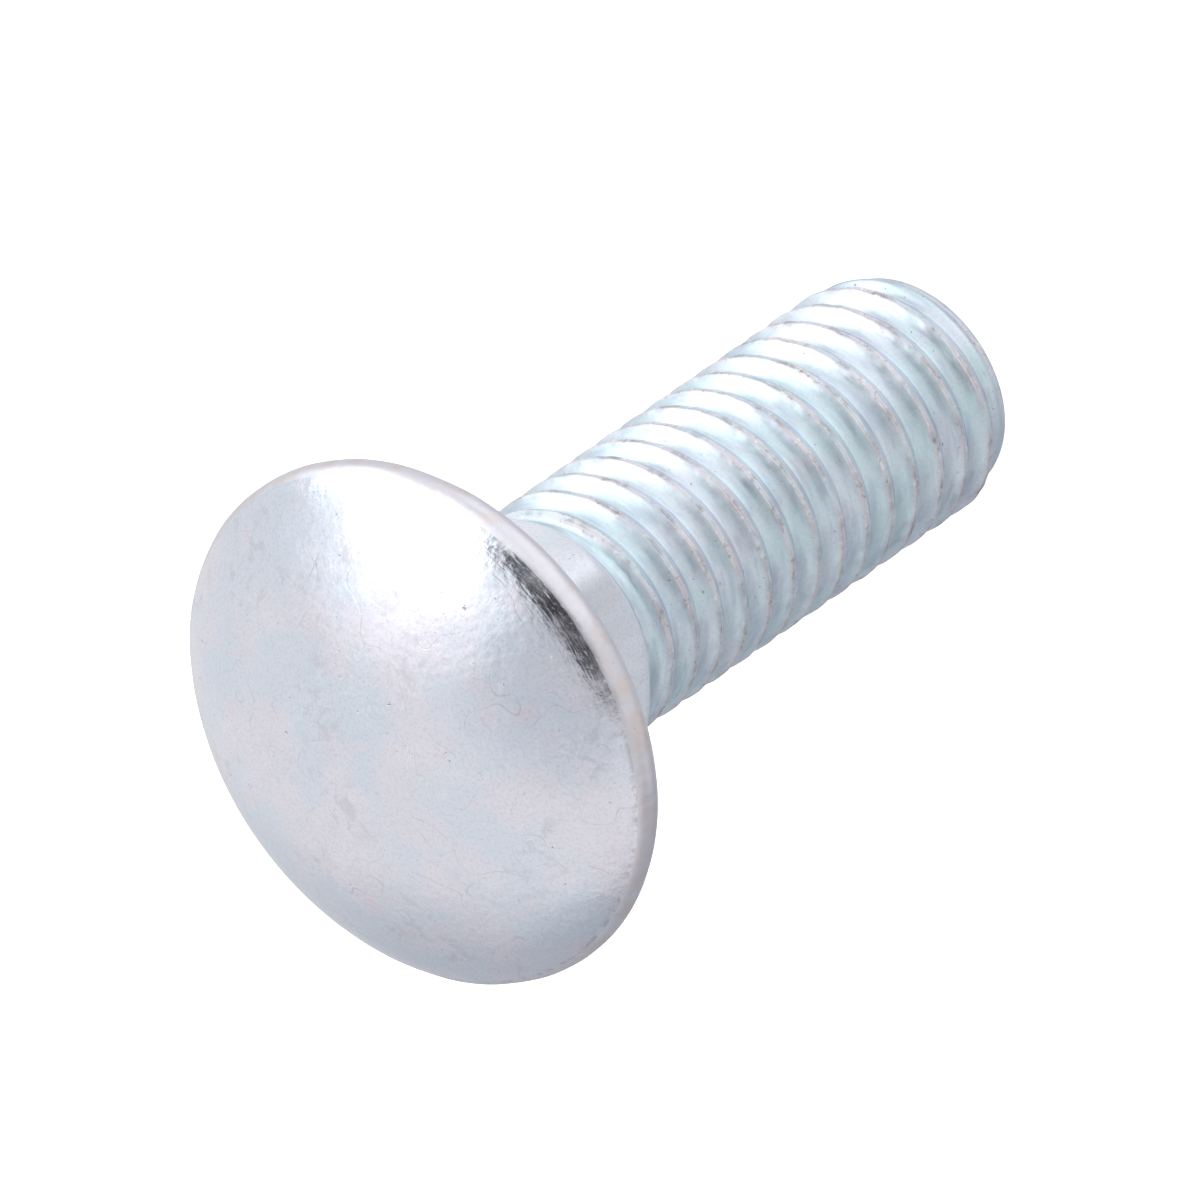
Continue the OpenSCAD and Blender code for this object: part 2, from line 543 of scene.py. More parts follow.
    def wear(self, along: np.ndarray, place: np.ndarray, depth: np.ndarray, on_seam: np.ndarray,
             formed: np.ndarray) -> dict[Wear, np.ndarray]:
        """Wear of the thread: each kind is a smooth step of the depth, patchy along the crest.

        Args:
            along: Array (rows, COLUMNS, 1) of lengths along the crest.
            place: Place along the pitch of each row, from 0 in one root to 1 in the next.
            depth: Depth of each row below the crest.
            on_seam: 1 for the row on the seam, and 0 for the others.
            formed: Share of the full thread at each point.

        Returns:
            Shares from 0 to 1.
        """
        top = 1 - ease(depth / self.rubbed_reach)
        beside_seam = top * (1 - on_seam)
        rubbed = np.clip(0.75 + 0.3 * ripple(along, Swell.RUBBING), 0, 1)
        dirty = np.clip(0.45 + 0.55 * ripple(along, Swell.DIRT), 0, 1)
        # Painted light: a paler band partway down the flanks that face the end
        faces_end = place < 0.5
        thin = ease((depth - self.pale_from) / self.pale_fade)
        thin = faces_end * thin * ease((self.pale_to - depth) / self.pale_fade)
        return {
            Wear.BRIGHT: beside_seam * rubbed,
            Wear.DULL: 0.6 * top + 0.3 * (1 - ease(depth / self.dull_reach)),
            Wear.GRIME: (on_seam + 0.5 * beside_seam) * dirty * formed,
            Wear.THIN: thin * formed,
        }


@dataclass(frozen=True)
class End:
    """The flat end face and its bevel, below the thread.

    The innermost ring lies middle times the step between two rings from the axis.
    """

    thread: Thread
    bevel: float = 0.25
    middle: float = 0.6
    bevel_rings: int = 4
    face_rings: int = 7

    def rings(self) -> list[Rings]:
        """Rings evenly down the bevel from the foot of the thread, and evenly in over the end face.

        Returns:
            One stack of rings.
        """
        foot = self.thread.end_r - self.bevel
        top_r = self.thread.point_r(self.bevel)
        slope = np.linspace(0, 1, self.bevel_rings)[:, None]
        bevel_r = top_r + (foot - top_r) * slope
        bevel_z = self.bevel * (1 - slope)
        inwards = np.arange(1, self.face_rings + 1) / (self.face_rings + self.middle)
        face_r = foot * (1 - inwards)[:, None]
        height = np.concatenate([bevel_z, np.zeros_like(face_r)])
        rings = turned(np.concatenate([bevel_r, face_r]), height)
        return [Rings(rings, Zone.THREAD)]


def quad_strips(first: np.ndarray, second: np.ndarray) -> np.ndarray:
    """Two triangles for each quad between two stacks of ring numbers.

    Args:
        first: Array (strips, COLUMNS + 1) of vertex numbers on the rings that come first.
        second: The same for the rings that follow them.

    Returns:
        Array (n, 3) of triangles, wound to face out where second lies below first.
    """
    a, b = first[:, :-1], second[:, :-1]
    c, d = second[:, 1:], first[:, 1:]
    return np.concatenate([np.stack([a, b, c], -1).reshape(-1, 3), np.stack([a, c, d], -1).reshape(-1, 3)])


def closed_ring(start: int, rings: int) -> np.ndarray:
    """Vertex numbers of a stack of rings, with the first column repeated at the end."""
    grid = start + np.arange(rings * COLUMNS).reshape(rings, COLUMNS)
    return np.concatenate([grid, grid[:, :1]], axis=1)


def linear(hex_colour: str) -> tuple[float, float, float, float]:
    """Turn an sRGB hex colour to linear light, with full alpha.

    Each channel c is c over 12.92 up to 0.04045, and otherwise ((c + 0.055) over 1.055) to the 2.4.

    Args:
        hex_colour: Six hex digits after a hash sign.

    Returns:
        Red, green, blue and alpha.
    """
    channels = [int(hex_colour[i : i + 2], 16) / 255 for i in (1, 3, 5)]
    red, green, blue = (c / 12.92 if c <= 0.04045 else ((c + 0.055) / 1.055) ** 2.4 for c in channels)
    return red, green, blue, 1.0


def add_node(tree: Tree, kind: str, inputs: dict[str | int, Value] | None = None, out: int | str = 0,
             **settings: object) -> Socket | None:
    """Add a shader node, set its properties, and set or link its inputs.

    Args:
        tree: Node tree to add to.
        kind: Node type, without the ShaderNode that all of them start with.
        inputs: Input name or number to a value, or to the output socket that feeds it.
        out: Name or number of the output to give back.
        **settings: Properties of the node itself.

    Returns:
        The output socket, or None where the node has none.
    """
    node = tree.nodes.new("ShaderNode" + kind)
    for name, value in settings.items():
        setattr(node, name, value)
    for name, value in (inputs or {}).items():
        if isinstance(value, Socket):
            tree.links.new(value, node.inputs[name])
        else:
            node.inputs[name].default_value = value
    return node.outputs[out] if node.outputs else None


# A mark that is drawn out keeps its size along a circle of this radius in millimetres around the axis,
# and is this many times narrower across it
GRAIN_R = 8.0
GRAIN_RATIO = 5.0
NOISE_ROUGHNESS = 0.55
# Noise levels between which a patch of gathered marks fades in
PATCH = (0.45, 0.62)


class Form(Enum):
    """Whether a mark fills the places where its noise runs high, or runs as a line between them."""

    BLOT = "blot"
    LINE = "line"


class Grain(Enum):
    """Whether a mark is as long as it is wide, or drawn out around the bolt's axis."""

    EVEN = "even"
    AROUND = "around"


@dataclass(frozen=True)
class Mark:
    """One kind of mark in the plating, placed by a noise.

    Attributes:
        size_mm: Width of the noise's features.
        low: Noise level at which a blot starts, or half the level width of a line.
        high: Noise level at which a blot is full.
        colour: sRGB hex colour of the mark, or nothing where it only shows as relief.
        share: How much of the colour is laid on.
        relief_um: Height of the mark in micrometres, below zero for a sunk one.
        cluster_mm: Size of the patches that the marks gather in, or 0 where they lie all over.
        wear: Kind of wear, painted light or painted shade that the mark keeps to.
        detail: Finer octaves in the noise.
        wander: How far the noise is pulled about, in its own features.
        form: Blot or line.
        grain: Even, or drawn out around the axis.
    """

    size_mm: float
    low: float
    high: float = 1.0
    colour: str = ""
    share: float = 1.0
    relief_um: float = 0.0
    cluster_mm: float = 0.0
    wear: Wear | None = None
    detail: float = 2.0
    wander: float = 0.0
    form: Form = Form.BLOT
    grain: Grain = Grain.EVEN

    def mask(self, tree: Tree, place: dict[Grain, Socket]) -> Socket:
        """Where the mark lies, from 0 to 1.

        A blot is a smooth step of the noise from low to high. A line is one where the noise is a half,
        and falls to nothing where it differs from a half by low.

        Args:
            tree: Node tree to add to.
            place: Coordinates in metres for each grain.

        Returns:
            The socket that carries the mask.
        """
        inputs = {"Vector": place[self.grain], "Scale": 1 / (self.size_mm * MM), "Detail": self.detail,
                  "Roughness": NOISE_ROUGHNESS, "Distortion": self.wander}
        level = add_node(tree, "TexNoise", inputs)
        start, full = self.low, self.high
        if self.form is Form.LINE:
            level = add_node(tree, "Math", {0: level, 1: 0.5}, operation="SUBTRACT")
            level = add_node(tree, "Math", {0: level}, operation="ABSOLUTE")
            full = 0.0
        mask = add_node(tree, "MapRange", {0: level, 1: start, 2: full}, interpolation_type="SMOOTHSTEP")
        if self.cluster_mm:
            inputs = {"Vector": place[Grain.EVEN], "Scale": 1 / (self.cluster_mm * MM), "Detail": 1.0}
            patch = add_node(tree, "TexNoise", inputs)
            limits = {1: PATCH[0], 2: PATCH[1]}
            patch = add_node(tree, "MapRange", {0: patch, **limits}, interpolation_type="SMOOTHSTEP")
            mask = add_node(tree, "Math", {0: mask, 1: patch}, operation="MULTIPLY")
        if self.wear:
            worn = add_node(tree, "Attribute", out="Fac", attribute_name=self.wear.value)
            mask = add_node(tree, "Math", {0: mask, 1: worn}, operation="MULTIPLY")
        return mask


@dataclass(frozen=True)
class ZincPlate:
    """Bright zinc plating with a clear blue passivation, over cold-forged or rolled steel.

    Zinc gives a pale grey mirror, blurred by the metal's own fine orange peel. The clear film, being
    very fine, tints it faintly blue, lilac or straw in soft clouds. Its marks are laid on base from the
    first to the last. Clouds cloud_mm wide make the roughness smoother or rougher, from the first to the
    second noise level in clouds, and full dulling adds dulled.
    """

    name: str
    base: str
    roughness: float
    marks: tuple[Mark, ...]
    cloud_mm: float = 1.8
    clouds: tuple[float, float] = (0.3, 0.7)
    smoother: float = 0.04
    rougher: float = 0.08
    dulled: float = 0.26

    def places(self, tree: Tree) -> dict[Grain, Socket]:
        """Coordinates for each grain, in metres.

        The drawn-out ones have GRAIN_R times the direction from the axis as their first two parts, and
        GRAIN_RATIO times the distance from the axis less the height as their third.

        Args:
            tree: Node tree to add to.

        Returns:
            A socket for each grain.
        """
        even = add_node(tree, "TexCoord", out="Object")
        level = add_node(tree, "VectorMath", {0: even, 1: (1, 1, 0)}, operation="MULTIPLY")
        height = add_node(tree, "SeparateXYZ", {0: even}, out="Z")
        away = add_node(tree, "VectorMath", {0: level}, out="Value", operation="LENGTH")
        slant = add_node(tree, "Math", {0: away, 1: height}, operation="SUBTRACT")
        slant = add_node(tree, "Math", {0: slant, 1: GRAIN_RATIO}, operation="MULTIPLY")
        slant = add_node(tree, "CombineXYZ", {2: slant})
        ray = add_node(tree, "VectorMath", {0: level}, operation="NORMALIZE")
        circle = (GRAIN_R * MM,) * 3
        around = add_node(tree, "VectorMath", {0: ray, 1: circle, 2: slant}, operation="MULTIPLY_ADD")
        return {Grain.EVEN: even, Grain.AROUND: around}

    def material(self) -> bpy.types.Material:
        """Build the node material.

        Returns:
            A metal whose colour and relief are laid on mark by mark, and whose roughness follows a
            cloud some millimetres wide and the dulled edges.
        """
        made = bpy.data.materials.new(self.name)
        made.use_nodes = True
        tree = made.node_tree
        tree.nodes.clear()
        place = self.places(tree)
        colour: Value = linear(self.base)
        height: Value = 0.0
        for mark in self.marks:
            mask = mark.mask(tree, place)
            if mark.relief_um:
                raised = {0: mask, 1: mark.relief_um, 2: height}
                height = add_node(tree, "Math", raised, operation="MULTIPLY_ADD")
            if mark.colour:
                laid = add_node(tree, "Math", {0: mask, 1: mark.share}, operation="MULTIPLY")
                layers = {0: laid, 6: colour, 7: linear(mark.colour)}
                colour = add_node(tree, "Mix", layers, out=2, data_type="RGBA")
        cloud = add_node(tree, "TexNoise", {"Vector": place[Grain.EVEN], "Scale": 1 / (self.cloud_mm * MM),
                                            "Detail": 3.0})
        rough = add_node(tree, "MapRange", {0: cloud, 1: self.clouds[0], 2: self.clouds[1],
                                            3: self.roughness - self.smoother,
                                            4: self.roughness + self.rougher})
        dull = add_node(tree, "Attribute", out="Fac", attribute_name=Wear.DULL.value)
        rough = add_node(tree, "Math", {0: dull, 1: self.dulled, 2: rough}, operation="MULTIPLY_ADD")
        normal = add_node(tree, "Bump", {"Height": height, "Distance": MICRON, "Strength": 1.0})
        metal = add_node(tree, "BsdfPrincipled", {"Base Color": colour, "Metallic": 1.0, "Roughness": rough,
                                                  "Normal": normal})
        add_node(tree, "OutputMaterial", {"Surface": metal})
        return made


# Zinc crystals are some hundredths of a millimetre wide, and are drawn at 0.16 mm so that they show
CRYSTALS = Mark(0.16, 0.4, 0.8, "#C9CAD6", share=0.35, relief_um=0.8, detail=1.0)
# Dark pinpricks that the plate didn't cover, in patches
PITS = Mark(0.2, 0.72, 0.78, "#807E84", share=0.7, relief_um=-14, cluster_mm=3.5, detail=1.0)
# Pale winding rubs from the other bolts in the plating barrel
RUBS = Mark(1.4, 0.025, colour="#FBFBFD", share=0.35, relief_um=1, cluster_mm=3.5, wander=1.5, detail=3.0,
            form=Form.LINE)
# Fine dark scores, a few to a patch
SCORES = Mark(3.4, 0.005, colour="#A9A8AE", share=0.35, relief_um=-3, cluster_mm=2.2, detail=1.0,
              form=Form.LINE)

FINISHES: dict[Zone, ZincPlate] = {
    # Struck in a die: smooth, with faint dimples, handling marks, and laps around the shoulder
    Zone.HEAD: ZincPlate("clear zinc plate on the forged head", "#ECEAF4", 0.18, (
        # Blue and lilac clouds of the clear film, and stains in it
        Mark(5.0, 0.38, 0.62, "#DEE9F5", share=0.8),
        Mark(2.2, 0.55, 0.8, "#F0E5EE", share=0.8, detail=3.0),
        Mark(0.9, 0.5, 0.68, "#D2D1DB", share=0.55, cluster_mm=4.0, detail=3.0, wander=0.6),
        # Orange peel of the forged steel, fine and broad
        Mark(0.4, 0.25, 0.75, relief_um=3.5),
        Mark(1.6, 0.3, 0.7, relief_um=9),
        CRYSTALS,
        RUBS,
        PITS,
        SCORES,
        # Laps around the shoulder, and dirt with painted shade in the crease at its foot
        Mark(1.0, 0.35, 0.7, relief_um=2.0, wear=Wear.LAPPED, grain=Grain.AROUND, detail=3.0),
        Mark(0.3, 0.35, 0.7, relief_um=2.8, wear=Wear.LAPPED, detail=3.0),
        Mark(0.5, 0.42, 0.6, "#968E88", share=0.45, wear=Wear.GRIME),
        # The lip, knocked about in handling: rubbed grey, straw stains, bruises and brown specks
        Mark(1.0, 0.1, 0.4, "#DCDAE1", share=0.9, wear=Wear.BRIGHT),
        Mark(1.3, 0.45, 0.65, "#DCCFCB", share=0.6, wear=Wear.BRIGHT),
        Mark(0.5, 0.3, 0.7, relief_um=7, wear=Wear.BRIGHT, detail=3.0),
        Mark(0.4, 0.66, 0.78, "#CDB7AA", share=0.4, wear=Wear.BRIGHT),
    )),
    # As forged: the same plate over a coarser, duller surface
    Zone.NECK: ZincPlate("clear zinc plate on the forged neck", "#ECF0F8", 0.55, (
        Mark(5.0, 0.38, 0.62, "#E6ECF3", share=0.8),
        Mark(2.2, 0.55, 0.8, "#EFE9EC", share=0.7, detail=3.0),
        Mark(0.6, 0.25, 0.75, relief_um=7),
        CRYSTALS,
        RUBS,
        PITS,
    )),
    # Rolled: the grain runs round the axis, the crests are dull and pinkish, and their seam holds dirt
    Zone.THREAD: ZincPlate("clear zinc plate on the rolled thread", "#DBE7F1", 0.34, (
        # Clouds of the clear film, then streaks and burnish that the rolls drew out
        Mark(5.0, 0.38, 0.62, "#CDE4EB", share=0.8),
        Mark(3.1, 0.5, 0.75, "#DBDCE9", share=0.8, detail=3.0),
        Mark(2.0, 0.5, 0.7, "#B0BDCB", share=0.5, cluster_mm=3.0, grain=Grain.AROUND),
        Mark(3.0, 0.45, 0.7, "#B6C6D8", share=0.5, detail=3.0, grain=Grain.AROUND),
        Mark(0.9, 0.25, 0.75, relief_um=2, grain=Grain.AROUND),
        Mark(0.7, 0.25, 0.75, relief_um=5),
        CRYSTALS,
        PITS,
        # Painted light: the flanks that face the end are painted paler, standing in for light
        Mark(0.8, 0.1, 0.3, "#F4ECF0", share=0.85, wear=Wear.THIN),
        # The crests: pinkish, rough and flecked with light and brown
        Mark(0.8, 0.1, 0.4, "#E4DBE0", share=0.85, wear=Wear.BRIGHT),
        Mark(0.45, 0.3, 0.7, relief_um=12, wear=Wear.BRIGHT, detail=3.0),
        Mark(0.28, 0.6, 0.7, "#FAF6F6", share=0.9, relief_um=8, wear=Wear.BRIGHT),
        Mark(0.35, 0.6, 0.68, "#9A8C84", share=0.6, wear=Wear.BRIGHT),
        Mark(0.6, 0.35, 0.65, "#77726F", share=0.7, wear=Wear.GRIME),
    )),
}


@dataclass
class Bolt:
    """The whole bolt, sized from the CAD node's box and built as one closed mesh.

    The box's corners are in metres. A helical point less than snap times the pitch from an end's ring
    joins it, and the dome's top stands tip over its first ring.
    """

    low: Vector
    high: Vector
    shank_l: float = 38.1
    blank_r: float = 5.75
    plain_l: float = 0.3
    snap: float = 0.004
    tip: float = 0.004
    head: Head = field(init=False)
    neck: Neck = field(init=False)
    thread: Thread = field(init=False)
    end: End = field(init=False)

    def __post_init__(self) -> None:
        """Work the parts out from the box: the head is what stands over the shank's length."""
        across = 2 * min(self.high.x, self.high.y, -self.low.x, -self.low.y) / MM
        tall = (self.high.z - self.low.z) / MM
        self.head = Head(across, tall - self.shank_l, self.shank_l)
        face_edge = across / 2 - self.head.lip_r
        self.neck = Neck(self.shank_l, face_edge, self.blank_r)
        self.thread = Thread(self.neck.low_z - self.plain_l, self.blank_r)
        self.end = End(self.thread)

    def shank_rings(self) -> list[Rings]:
        """Three plain rings, evenly from the neck's cone down to the thread's run-out."""
        z = np.linspace(self.neck.low_z, self.thread.high_z, 4)[1:, None]
        return [Rings(turned(np.full_like(z, self.blank_r), z), Zone.THREAD)]

    def faces(self, top: int, foot: int, z: np.ndarray, steps: int) -> np.ndarray:
        """Triangles of the whole bolt.

        The points are numbered ring by ring down to the thread's top ring, then over the end's rings,
        then row by row along the helix, and last the two poles. A helical point above the thread's top
        ring, or below its bottom ring, takes the number of that ring's point in its column. Triangles
        that fold up there are dropped, so the helix closes on two flat rings.

        Args:
            top: Number of rings above the thread.
            foot: Number of rings below it.
            z: Array (rows, COLUMNS) of the helical points' heights.
            steps: Rows to one turn of the helix.

        Returns:
            Array (triangles, 3) of point numbers, wound to face out.
        """
        foot_start = top * COLUMNS
        helix_start = foot_start + foot * COLUMNS
        number = helix_start + np.arange(z.size).reshape(z.shape)
        column = np.arange(COLUMNS)
        margin = self.snap * self.thread.pitch
        number = np.where(z > self.thread.high_z - margin, foot_start - COLUMNS + column, number)
        number = np.where(z < self.end.bevel + margin, foot_start + column, number)
        # One turn on, each row goes over into the row that lies a pitch higher
        around = np.concatenate([number[:-steps], number[steps:, :1]], axis=1)
        upper, lower = closed_ring(0, top), closed_ring(foot_start, foot)
        dome_pole, end_pole = helix_start + z.size + np.arange(2)
        faces = np.concatenate([
            quad_strips(upper[:-1], upper[1:]),
            quad_strips(around[1:], around[:-1]),
            quad_strips(lower[:-1], lower[1:]),
            np.stack([np.full(COLUMNS, dome_pole), upper[0, :-1], upper[0, 1:]], -1),
            np.stack([lower[-1, :-1], np.full(COLUMNS, end_pole), lower[-1, 1:]], -1),
        ])
        a, b, c = faces.T
        return faces[(a != b) & (b != c) & (c != a)]

    def mesh(self) -> bpy.types.Mesh:
        """Join the ring stacks and the helical rows into one closed triangle mesh.

        Returns:
            The mesh, in metres.
        """
        above = self.head.rings() + self.neck.rings() + self.shank_rings()
        below = self.end.rings()
        helix, z, steps = self.thread.surface()
        top, foot = (sum(len(part.xyz) for part in parts) for parts in (above, below))
        faces = self.faces(top, foot, z, steps)

        parts = above + below + [helix]
        poles = np.array([[0, 0, above[0].xyz[0, :, 2].mean() + self.tip], [0, 0, 0]])
        xyz = np.concatenate([part.xyz.reshape(-1, 3) for part in parts] + [poles])
        wear = {kind.value: np.concatenate([part.worn(kind) for part in parts] + [[0, 0]]) for kind in Wear}
        zone = np.concatenate([np.full(part.xyz[..., 0].size, part.zone.value) for part in parts]
                              + [[Zone.HEAD.value, Zone.THREAD.value]])
        return self.to_blender(xyz * MM, faces, zone, wear)

    @staticmethod
    def to_blender(xyz: np.ndarray, faces: np.ndarray, zone: np.ndarray,
                   wear: dict[str, np.ndarray]) -> bpy.types.Mesh:
        """Put the arrays into a Blender mesh, leaving out points that no face uses.

        Args:
            xyz: Array (points, 3) in metres.
            faces: Array (triangles, 3) of point numbers.
            zone: Array (points,) with each point's material slot.
            wear: Named point attributes.

        Returns:
            A smooth-shaded mesh with one material index for each face.
        """
        used, packed = np.unique(faces, return_inverse=True)
        packed = packed.reshape(-1, 3).astype(np.int32)
        mesh = bpy.data.meshes.new(NODE)
        mesh.vertices.add(len(used))
        mesh.vertices.foreach_set("co", xyz[used].astype(np.float32).ravel())
        mesh.loops.add(packed.size)
        mesh.loops.foreach_set("vertex_index", packed.ravel())
        mesh.polygons.add(len(packed))
        mesh.polygons.foreach_set("loop_start", np.arange(0, packed.size, 3, dtype=np.int32))
        mesh.polygons.foreach_set("material_index", zone[used][packed].max(axis=1).astype(np.int32))
        mesh.update(calc_edges=True)
        mesh.shade_smooth()
        for name, values in wear.items():
            layer = mesh.attributes.new(name, "FLOAT", "POINT")
            layer.data.foreach_set("value", values[used].astype(np.float32))
        return mesh

    def build(self) -> bpy.types.Object:
        """Make the piece, dress it, and let it stand for its CAD node.

        Returns:
            The bolt, at the origin.
        """
        mesh = self.mesh()
        for zone in Zone:
            mesh.materials.append(FINISHES[zone].material())
        piece = bpy.data.objects.new("bolt", mesh)
        bpy.context.scene.collection.objects.link(piece)
        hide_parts(NODE)
        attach(piece, "root")
        return piece


@dataclass(frozen=True)
class Viewpoint:
    """Where the picture is taken from: a long lens that looks down on the head.

    Angles are in degrees. Azimuth 0 looks along +Y, and lean is how far the picture is turned about
    the line of sight, so that the shank runs up to the right. The picture is across millimetres wide,
    its middle is aim_z up the bolt's axis, and the camera stands away millimetres from there.
    """

    azimuth: float = 34.8
    elevation: float = 43.3
    lean: float = 124.64
    aim_z: float = 25.07
    across: float = 57.42
    away: float = 400.0

    def axes(self) -> tuple[Vector, Vector, Vector]:
        """The picture's right and up directions, and the direction back to the camera.

        Right and up are the level and the upright direction across the line of sight, turned by lean.

        Returns:
            Three unit vectors at right angles.
        """
        azimuth, elevation, lean = (math.radians(v) for v in (self.azimuth, self.elevation, self.lean))
        back = Vector((math.sin(azimuth) * math.cos(elevation),
                       -math.cos(azimuth) * math.cos(elevation), math.sin(elevation)))
        level = Vector((math.cos(azimuth), math.sin(azimuth), 0))
        upright = back.cross(level)
        right = math.cos(lean) * level - math.sin(lean) * upright
        up = math.sin(lean) * level + math.cos(lean) * upright
        return right, up, back

    def towards(self, bearing: float, height: float) -> Vector:
        """Direction from the bolt, given in degrees as the view has it.

        Its turn about the vertical, from +X, is the azimuth less 90 plus the bearing.

        Args:
            bearing: 0 towards the camera, 90 to its right and 180 away from it.
            height: 0 level with the floor and 90 straight up.

        Returns:
            A unit vector.
        """
        turn = math.radians(self.azimuth - 90 + bearing)
        height = math.radians(height)
        level = math.cos(height)
        return Vector((math.cos(turn) * level, math.sin(turn) * level, math.sin(height)))


@dataclass(frozen=True)
class Glow:
    """A soft round patch of the light tent, in degrees: full within inner and gone beyond outer."""

    bearing: float
    height: float
    inner: float
    outer: float
    colour: str
    strength: float = 1.0


TENT: tuple[Glow, ...] = (
    # Low on the side away from the key light, the tent is in shade
    Glow(-130, -18, 26, 58, "#BEC0C4"),
    Glow(-112, -18, 22, 46, "#B4B6BB"),
    Glow(-78, -2, 10, 30, "#BDBEC2"),
    # The bolt's own shade on the floor, away from the key light
    Glow(-110, -60, 15, 40, "#B3B5BA"),
    # The floor below the key light
    Glow(98, -52, 22, 44, "#ECECEF"),
    # A white card in front, on the camera's right, and the grey edge behind it
    Glow(35, -18, 22, 50, "#FFFFFF", 1.3),
    Glow(26, 8, 20, 32, "#FFFFFF", 1.22),
    Glow(58, -2, 6, 19, "#DFDFE2"),
    # The bolt's own shade right below
    Glow(0, -90, 12, 34, "#D6D7DA"),
    # Light spilled on the tent's wall beside the camera
    Glow(34, 28, 10, 42, "#FFFFFF", 1.1),
    # Shade beside and above the lens
    Glow(-30, 64, 6, 38, "#CFD0D3"),
    # The tent's cloth around the key light, and the light that spills down it
    Glow(82, 49, 27, 40, "#FFFFFF", 1.08),
    Glow(64, 31, 10, 24, "#FFFFFF", 1.6),
    Glow(94, 10, 14, 25, "#FFFFFF", 2.0),
)


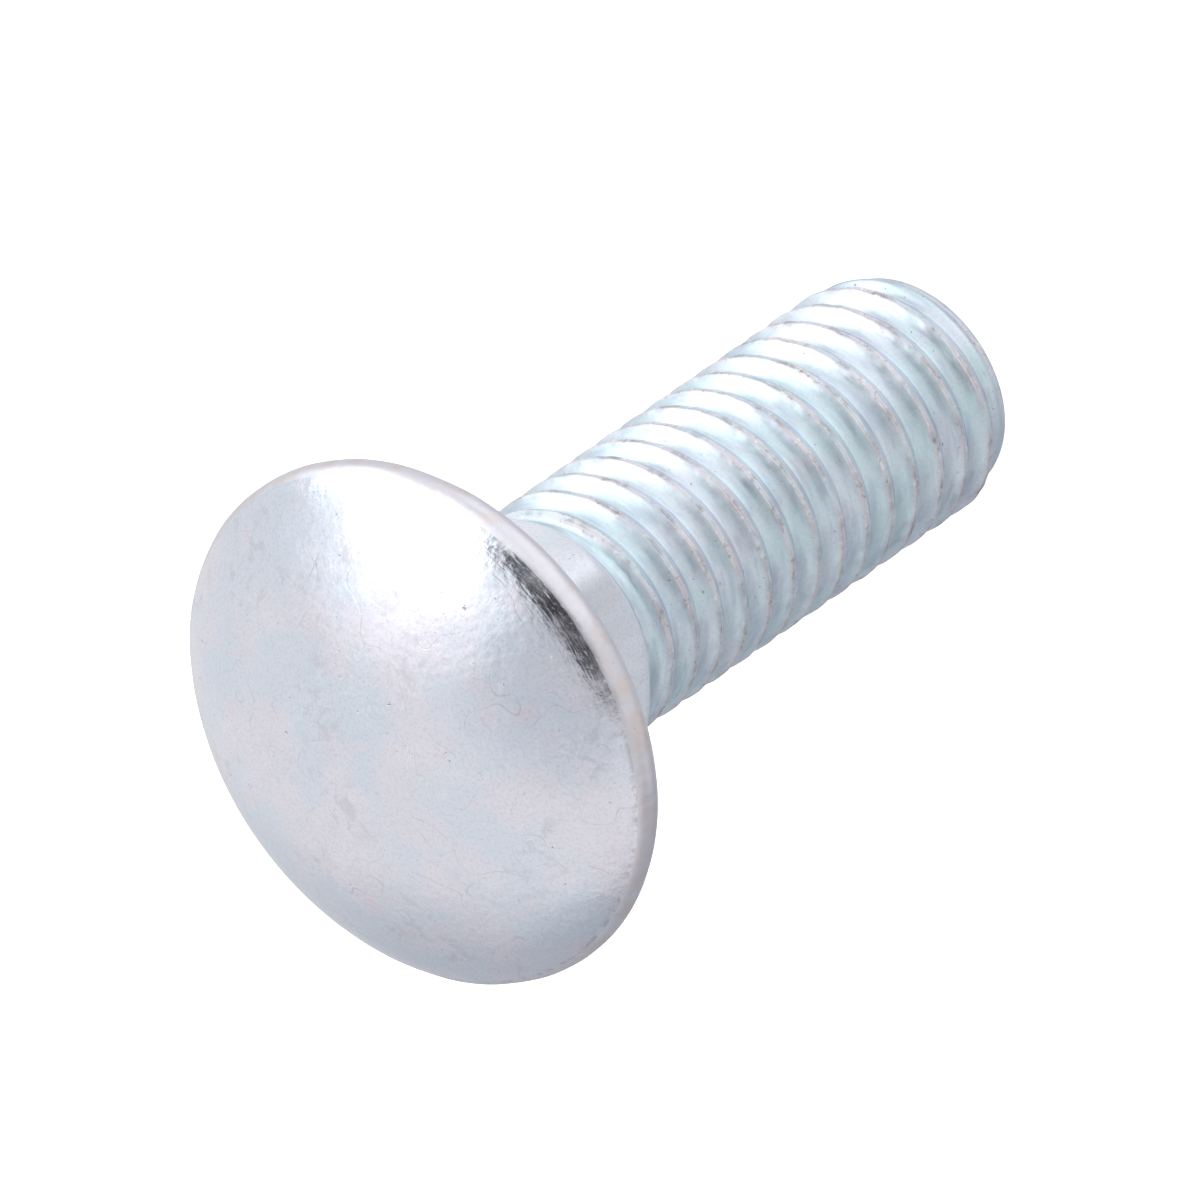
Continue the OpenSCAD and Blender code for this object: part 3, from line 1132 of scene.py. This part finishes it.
@dataclass
class Studio:
    """Pale floor, a light tent with one large round soft light, and the camera.

    Bearings and heights are directions in degrees, as the view has them. Sizes and distances are in
    metres, and the gap's half width and half height are sines. A glow or radiance of 1 is the picture's
    white. The dark gap that the lens looks through fades between the two shares of it in gap_edge.
    """

    view: Viewpoint
    floor_size: float = 2.4
    floor_colour: str = "#F2F2F2"
    floor_glow: float = 0.85
    key_bearing: float = 80
    key_height: float = 49
    key_size: float = 0.55
    key_away: float = 0.8
    key_radiance: float = 2.0
    tent: str = "#EAEAEA"
    gap: str = "#0E0F10"
    gap_bearing: float = 4.5
    gap_height: float = 46.8
    gap_wide: float = 0.55
    gap_tall: float = 0.13
    gap_edge: tuple[float, float] = (0.8, 1.2)

    def floor(self) -> None:
        """Lay the pale floor that the bolt stands on."""
        half = self.floor_size / 2
        corners = [(-half, -half, 0), (half, -half, 0), (half, half, 0), (-half, half, 0)]
        mesh = bpy.data.meshes.new("floor")
        mesh.from_pydata(corners, [], [(0, 1, 2, 3)])
        # A matt white sheet lit from below: nearly even, and only faintly shaded under the bolt
        material = bpy.data.materials.new("lit white acrylic floor")
        material.use_nodes = True
        shader = material.node_tree.nodes["Principled BSDF"]
        shader.inputs["Base Color"].default_value = linear(self.floor_colour)
        shader.inputs["Roughness"].default_value = 0.9
        shader.inputs["Specular IOR Level"].default_value = 0.0
        shader.inputs["Emission Color"].default_value = linear("#FFFFFF")
        shader.inputs["Emission Strength"].default_value = self.floor_glow
        mesh.materials.append(material)
        floor = bpy.data.objects.new("floor", mesh)
        # The metal mirrors the tent, and not the lit floor
        floor.visible_glossy = False
        bpy.context.scene.collection.objects.link(floor)

    def key_light(self) -> None:
        """Hang one large round soft light, high on the view's right, that faces the bolt.

        Its power is the radiance times pi times its area, where radiance 1 is the picture's white.
        """
        direction = self.view.towards(self.key_bearing, self.key_height)
        light = bpy.data.lights.new("key light", "AREA")
        light.shape = "DISK"
        light.size = self.key_size
        light.energy = self.key_radiance * math.pi * math.pi * (self.key_size / 2) ** 2
        lamp = bpy.data.objects.new("key light", light)
        lamp.location = Vector((0, 0, self.view.aim_z * MM)) + direction * self.key_away
        lamp.rotation_mode = "QUATERNION"
        lamp.rotation_quaternion = direction.to_track_quat("Z", "Y")
        bpy.context.scene.collection.objects.link(lamp)

    def gap_mask(self, tree: Tree, ray: Socket) -> Socket:
        """Where the tent has its dark gap, from 0 to 1.

        The gap is an ellipse of rays. A ray's place in it is the length of its sideways share over the
        gap's half width and its upward share over the half height, and a smooth step fades its edge.

        Args:
            tree: Node tree to add to.
            ray: Direction of the ray.

        Returns:
            The socket that carries the mask.
        """
        sideways = tuple(self.view.towards(self.gap_bearing + 90, 0) / self.gap_wide)
        upwards = tuple(self.view.towards(self.gap_bearing + 180, 90 - self.gap_height) / self.gap_tall)
        x = add_node(tree, "VectorMath", {0: ray, 1: sideways}, out="Value", operation="DOT_PRODUCT")
        y = add_node(tree, "VectorMath", {0: ray, 1: upwards}, out="Value", operation="DOT_PRODUCT")
        spread = add_node(tree, "CombineXYZ", {0: x, 1: y})
        spread = add_node(tree, "VectorMath", {0: spread}, out="Value", operation="LENGTH")
        fade = {1: self.gap_edge[1], 2: self.gap_edge[0]}
        inside = add_node(tree, "MapRange", {0: spread, **fade}, interpolation_type="SMOOTHSTEP")
        # The shares are as small on the far side of the tent, so only rays near the gap's middle count
        centre = tuple(self.view.towards(self.gap_bearing, self.gap_height))
        facing = add_node(tree, "VectorMath", {0: ray, 1: centre}, out="Value", operation="DOT_PRODUCT")
        facing = add_node(tree, "Math", {0: facing, 1: 0.5}, operation="GREATER_THAN")
        return add_node(tree, "Math", {0: inside, 1: facing}, operation="MULTIPLY")

    def surroundings(self) -> None:
        """Light the room as a pale tent with soft patches and a dark gap.

        A patch's share is a smooth step of the ray's cosine to its middle.
        """
        world = bpy.data.worlds.new("light tent")
        world.use_nodes = True
        tree = world.node_tree
        tree.nodes.clear()
        ray = add_node(tree, "TexCoord", out="Generated")
        colour: Value = linear(self.tent)
        for glow in TENT:
            centre = tuple(self.view.towards(glow.bearing, glow.height))
            share = add_node(tree, "VectorMath", {0: ray, 1: centre}, out="Value", operation="DOT_PRODUCT")
            limits = {1: math.cos(math.radians(glow.outer)), 2: math.cos(math.radians(glow.inner))}
            share = add_node(tree, "MapRange", {0: share, **limits}, interpolation_type="SMOOTHSTEP")
            light = tuple(glow.strength * c for c in linear(glow.colour)[:3]) + (1.0,)
            colour = add_node(tree, "Mix", {0: share, 6: colour, 7: light}, out=2, data_type="RGBA")

        gap = self.gap_mask(tree, ray)
        colour = add_node(tree, "Mix", {0: gap, 6: colour, 7: linear(self.gap)}, out=2, data_type="RGBA")
        tent = add_node(tree, "Background", {"Color": colour, "Strength": 1.0})
        add_node(tree, "OutputWorld", {"Surface": tent})
        bpy.context.scene.world = world

    def camera(self) -> None:
        """Set up the camera: parallel projection, as the far camera of the picture shows it."""
        right, up, back = self.view.axes()
        data = bpy.data.cameras.new("camera")
        data.type = "ORTHO"
        data.ortho_scale = self.view.across * MM
        camera = bpy.data.objects.new("camera", data)
        place = Vector((0, 0, self.view.aim_z)) + back * self.view.away
        turn = Matrix((right, up, back)).transposed().to_4x4()
        camera.matrix_world = Matrix.Translation(place * MM) @ turn
        bpy.context.scene.collection.objects.link(camera)
        bpy.context.scene.camera = camera

    def build(self) -> None:
        """Make the floor, the lights and the camera."""
        self.floor()
        self.surroundings()
        self.key_light()
        self.camera()
        bpy.context.scene.view_settings.view_transform = "Standard"


def main() -> None:
    """Build the bolt over its CAD node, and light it."""
    logging.basicConfig(level=logging.INFO, format="%(name)s: %(message)s")
    low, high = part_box(NODE)
    piece = Bolt(low, high).build()
    LOG.info("%s: %d points, %d triangles", piece.name, len(piece.data.vertices), len(piece.data.polygons))
    Studio(Viewpoint()).build()


if __name__ == "__main__":
    main()
